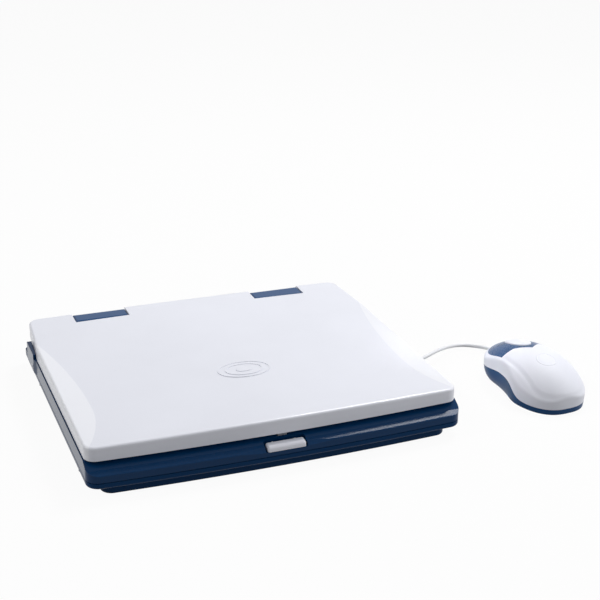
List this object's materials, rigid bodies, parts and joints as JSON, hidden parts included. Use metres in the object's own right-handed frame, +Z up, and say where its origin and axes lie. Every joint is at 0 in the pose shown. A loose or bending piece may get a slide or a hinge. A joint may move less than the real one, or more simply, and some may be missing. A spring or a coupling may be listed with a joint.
{
  "type": "toy laptop computer",
  "caption": "Child's toy laptop with a hinged white lid over a dark blue base, a press latch at the front, a rubber keyboard inside and a small corded mouse",
  "frame": {"origin": "centre of the underside of the laptop's bottom tray, on the table", "axes": "+X towards the laptop's right side, where the mouse lies; +Y towards the hinge; +Z up"},
  "size_m": [0.426, 0.2566, 0.0398],
  "materials": {
    "white_gloss": "glossy moulded plastic",
    "blue_gloss": "glossy moulded plastic",
    "slate_blue": "satin moulded plastic",
    "grey_plastic": "fine matte texture",
    "bezel_grey": "fine matte texture",
    "black_plastic": "matte",
    "black_rubber": "matte rubber",
    "key_rubber": "matte silicone rubber",
    "cord_white": "smooth flexible jacket",
    "steel": "zinc plated",
    "contact_metal": "nickel plated",
    "clear_window": "clear pane",
    "display_grey": "liquid crystal display",
    "board_green": "solder mask",
    "cell_jacket": "printed foil jacket"
  },
  "bodies": {
    "base": {"hinge_cover_left": "slate_blue", "hinge_pin_left": "steel", "hinge_cover_right": "slate_blue", "hinge_pin_right": "steel", "base_upper_shell": "blue_gloss", "base_lower_shell": "blue_gloss", "case_screws": "steel", "rubber_feet": "black_rubber", "battery_door": "blue_gloss", "door_screw": "steel", "battery_box": "black_plastic", "battery_cells": "cell_jacket", "battery_contacts": "contact_metal", "keyboard_plate": "bezel_grey", "keypad_mat": "key_rubber", "main_board": "board_green", "speaker": "black_plastic", "latch_springs": "steel", "mouse_socket": "black_plastic", "mouse_plug": "cord_white", "audio_jack": "white_gloss", "mouse_top_shell": "white_gloss", "mouse_front_insert": "slate_blue", "mouse_lower_shell": "slate_blue", "mouse_grommet": "cord_white", "mouse_screw": "steel", "mouse_board": "board_green", "mouse_lens": "clear_window", "mouse_switch": "black_plastic", "mouse_feet": "black_plastic", "mouse_cord": "cord_white"},
    "lid": {"lid_shell": "white_gloss", "lid_bezel": "bezel_grey", "screen_window": "clear_window", "screen_panel": "display_grey", "lid_screws": "steel", "lid_bumpers": "black_rubber", "latch_hook": "grey_plastic"},
    "latch": {"latch_button": "white_gloss"},
    "mouse_key": {"mouse_button": "white_gloss"}
  },
  "joints": [
    {"name": "lid_hinge", "type": "hinge", "parent": "base", "child": "lid", "pos_m": [0, 0.11205, 0.0294], "axis": [-1, 0, 0], "range_deg": [0, 115]},
    {"name": "latch_press", "type": "slide", "parent": "base", "child": "latch", "axis": [0, 1, 0], "range_m": [0, 0.002], "stiffness_N_per_m": 600, "springref_m": -0.001, "deforming": ["latch_springs"]},
    {"name": "mouse_click", "type": "slide", "parent": "base", "child": "mouse_key", "axis": [0, 0, -1], "range_m": [0, 0.0008], "stiffness_N_per_m": 800, "springref_m": -0.0006}
  ]
}
